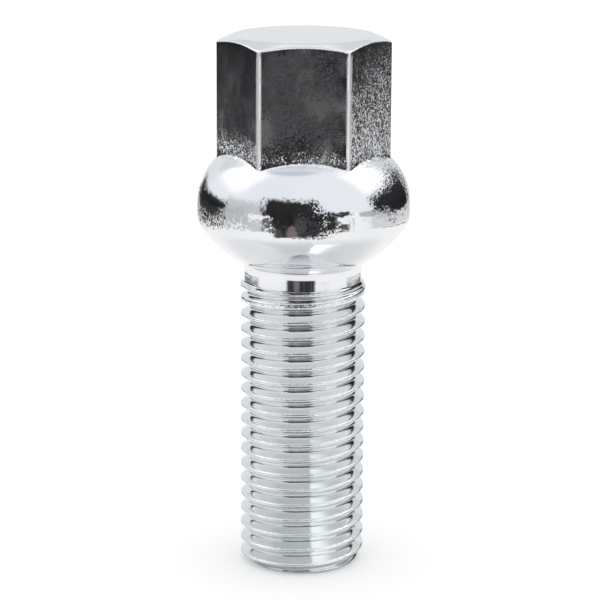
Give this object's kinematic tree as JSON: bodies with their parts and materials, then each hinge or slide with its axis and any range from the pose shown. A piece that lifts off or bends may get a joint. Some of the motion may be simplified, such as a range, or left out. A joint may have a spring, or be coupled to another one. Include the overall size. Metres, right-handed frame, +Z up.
{
  "type": "wheel bolt",
  "caption": "Chrome-plated wheel bolt: hexagon head with bevelled top, round collar with a ball seat underneath, short plain neck and a right-hand threaded shank.",
  "frame": {"origin": "centre of the flat tip of the thread, on the bolt's axis", "axes": "+Z up the bolt's axis from the tip to the head, -Y out of the front flat of the hexagon, +X to the right seen from the front"},
  "size_m": [0.0236, 0.0236, 0.0602],
  "materials": {
    "chrome": "bright chrome plate over forged steel, slightly grainy on the hexagon's flats and smooth on the thread"
  },
  "bodies": {
    "root": {"wheel_bolt": "chrome"}
  },
  "joints": []
}
